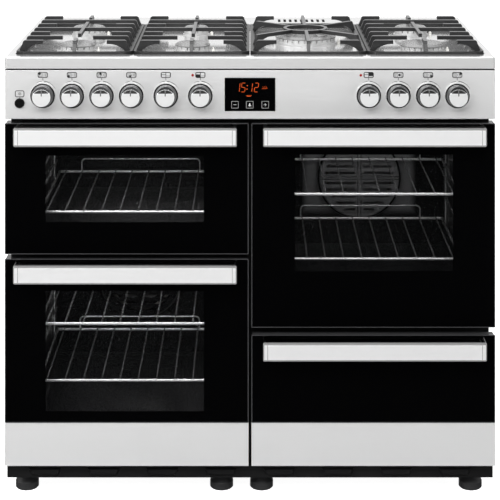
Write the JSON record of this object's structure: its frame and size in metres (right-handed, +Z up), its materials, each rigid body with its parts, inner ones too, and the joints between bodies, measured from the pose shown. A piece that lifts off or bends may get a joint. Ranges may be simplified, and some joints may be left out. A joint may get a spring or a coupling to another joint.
{
  "type": "gas cooker",
  "caption": "Free-standing range cooker: gas hob with lift-off pan supports, stacked left ovens, tall right oven over a storage drawer, glass drop-down doors with bar handles.",
  "frame": {"origin": "on the floor, at the middle of the width and of the whole depth with handles", "axes": "+X to the right of someone facing the doors, +Y towards the back, +Z up"},
  "size_m": [1, 0.648, 0.93],
  "materials": {
    "black_paint": "satin black paint",
    "zinc_sheet": "zinc coated sheet",
    "stainless_steel": "brushed stainless",
    "handle_metal": "bright brushed",
    "black_glass": "gloss, printed black behind",
    "clear_glass": "clear",
    "door_tray_enamel": "black enamel",
    "oven_enamel": "dark enamel",
    "shelf_chrome": "bright plated wire",
    "cast_iron": "matt enamelled casting",
    "burner_alloy": "cast, satin",
    "cap_enamel": "gloss black enamel",
    "electrode": "white ceramic with a steel pin",
    "knob_chrome": "polished plating",
    "button_plastic": "black",
    "display_glass": "gloss black",
    "lamp_red": "red lens",
    "pipe_steel": "plain",
    "valve_alloy": "die cast",
    "seal_rubber": "soft grey-black",
    "foot_plastic": "black",
    "element_steel": "heat darkened sheath",
    "fan_steel": "plain sheet",
    "drawer_paint": "dark grey paint"
  },
  "bodies": {
    "root": {"plinth": "black_paint", "base_chassis": "black_paint", "carcass_frame": "black_paint", "side_panels": "black_paint", "back_panel": "zinc_sheet", "drawer_channels": "zinc_sheet", "hinge_brackets": "zinc_sheet", "upper_left_cavity": "oven_enamel", "lower_left_cavity": "oven_enamel", "right_cavity": "oven_enamel", "fan_covers": "oven_enamel", "oven_shelves": "shelf_chrome", "shelf_runners": "shelf_chrome", "burner_bodies": "burner_alloy", "burner_caps": "cap_enamel", "spark_electrodes": "electrode", "display_glass": "display_glass", "lamp_lenses": "lamp_red", "gas_rail": "pipe_steel", "valves_and_switches": "valve_alloy", "door_seals": "seal_rubber", "levelling_feet": "foot_plastic", "heating_elements": "element_steel", "hob_top": "stainless_steel", "control_panel": "stainless_steel", "fan_motors": "fan_steel"},
    "upper_left_door": {"upper_left_door_glass": "black_glass", "upper_left_door_panel": "door_tray_enamel", "upper_left_inner_glass": "clear_glass", "upper_left_handle": "handle_metal"},
    "lower_left_door": {"lower_left_door_glass": "black_glass", "lower_left_door_panel": "door_tray_enamel", "lower_left_inner_glass": "clear_glass", "lower_left_handle": "handle_metal", "lower_left_door_trim": "stainless_steel"},
    "right_door": {"right_door_glass": "black_glass", "right_door_panel": "door_tray_enamel", "right_inner_glass": "clear_glass", "right_handle": "handle_metal"},
    "drawer": {"drawer_glass": "black_glass", "drawer_trim": "stainless_steel", "drawer_box": "drawer_paint", "drawer_handle": "handle_metal"},
    "rear_left_knob": {"rear_left_knob": "knob_chrome"},
    "front_left_knob": {"front_left_knob": "knob_chrome"},
    "rear_middle_knob": {"rear_middle_knob": "knob_chrome"},
    "front_middle_knob": {"front_middle_knob": "knob_chrome"},
    "grill_knob": {"grill_knob": "knob_chrome"},
    "left_oven_knob": {"left_oven_knob": "knob_chrome"},
    "right_oven_knob": {"right_oven_knob": "knob_chrome"},
    "wok_knob": {"wok_knob": "knob_chrome"},
    "front_right_knob": {"front_right_knob": "knob_chrome"},
    "rear_right_knob": {"rear_right_knob": "knob_chrome"},
    "left_pan_support": {"left_pan_support": "cast_iron"},
    "middle_pan_support": {"middle_pan_support": "cast_iron"},
    "wok_pan_support": {"wok_pan_support": "cast_iron"},
    "right_pan_support": {"right_pan_support": "cast_iron"},
    "lower_left_fan": {"lower_left_fan": "fan_steel"},
    "right_fan": {"right_fan": "fan_steel"},
    "ignition_button": {"ignition_button": "button_plastic"}
  },
  "joints": [
    {"name": "upper_left_door_hinge", "type": "hinge", "parent": "root", "child": "upper_left_door", "pos_m": [-0.2515, -0.264, 0.5155], "axis": [1, 0, 0], "range_deg": [0, 90]},
    {"name": "lower_left_door_hinge", "type": "hinge", "parent": "root", "child": "lower_left_door", "pos_m": [-0.2515, -0.264, 0.084], "axis": [1, 0, 0], "range_deg": [0, 90]},
    {"name": "right_door_hinge", "type": "hinge", "parent": "root", "child": "right_door", "pos_m": [0.2515, -0.264, 0.366], "axis": [1, 0, 0], "range_deg": [0, 90]},
    {"name": "drawer_slide", "type": "slide", "parent": "root", "child": "drawer", "axis": [0, -1, 0], "range_m": [0, 0.29]},
    {"name": "rear_left_knob_turn", "type": "hinge", "parent": "root", "child": "rear_left_knob", "pos_m": [-0.4225, -0.29, 0.825], "axis": [0, -1, 0], "range_deg": [0, 210]},
    {"name": "front_left_knob_turn", "type": "hinge", "parent": "root", "child": "front_left_knob", "pos_m": [-0.363, -0.29, 0.825], "axis": [0, -1, 0], "range_deg": [0, 210]},
    {"name": "rear_middle_knob_turn", "type": "hinge", "parent": "root", "child": "rear_middle_knob", "pos_m": [-0.3025, -0.29, 0.825], "axis": [0, -1, 0], "range_deg": [0, 210]},
    {"name": "front_middle_knob_turn", "type": "hinge", "parent": "root", "child": "front_middle_knob", "pos_m": [-0.242, -0.29, 0.825], "axis": [0, -1, 0], "range_deg": [0, 210]},
    {"name": "grill_knob_turn", "type": "hinge", "parent": "root", "child": "grill_knob", "pos_m": [-0.1716, -0.29, 0.825], "axis": [0, 1, 0], "range_deg": [0, 290]},
    {"name": "left_oven_knob_turn", "type": "hinge", "parent": "root", "child": "left_oven_knob", "pos_m": [-0.1012, -0.29, 0.825], "axis": [0, 1, 0], "range_deg": [0, 290]},
    {"name": "right_oven_knob_turn", "type": "hinge", "parent": "root", "child": "right_oven_knob", "pos_m": [0.242, -0.29, 0.825], "axis": [0, 1, 0], "range_deg": [0, 290]},
    {"name": "wok_knob_turn", "type": "hinge", "parent": "root", "child": "wok_knob", "pos_m": [0.3025, -0.29, 0.825], "axis": [0, -1, 0], "range_deg": [0, 210]},
    {"name": "front_right_knob_turn", "type": "hinge", "parent": "root", "child": "front_right_knob", "pos_m": [0.363, -0.29, 0.825], "axis": [0, -1, 0], "range_deg": [0, 210]},
    {"name": "rear_right_knob_turn", "type": "hinge", "parent": "root", "child": "rear_right_knob", "pos_m": [0.4225, -0.29, 0.825], "axis": [0, -1, 0], "range_deg": [0, 210]},
    {"name": "ignition_button_press", "type": "slide", "parent": "root", "child": "ignition_button", "axis": [0, 1, 0], "range_m": [0, 0.0035], "stiffness_N_per_m": 400},
    {"name": "lower_left_fan_spin", "type": "hinge", "parent": "root", "child": "lower_left_fan", "pos_m": [-0.2515, 0.168, 0.327], "axis": [0, 1, 0], "continuous": true},
    {"name": "right_fan_spin", "type": "hinge", "parent": "root", "child": "right_fan", "pos_m": [0.2515, 0.168, 0.5565], "axis": [0, 1, 0], "continuous": true},
    {"name": "left_pan_support_lift", "type": "slide", "parent": "root", "child": "left_pan_support", "axis": [0, 0, 1], "range_m": [0, 0.15]},
    {"name": "middle_pan_support_lift", "type": "slide", "parent": "root", "child": "middle_pan_support", "axis": [0, 0, 1], "range_m": [0, 0.15]},
    {"name": "wok_pan_support_lift", "type": "slide", "parent": "root", "child": "wok_pan_support", "axis": [0, 0, 1], "range_m": [0, 0.15]},
    {"name": "right_pan_support_lift", "type": "slide", "parent": "root", "child": "right_pan_support", "axis": [0, 0, 1], "range_m": [0, 0.15]}
  ]
}
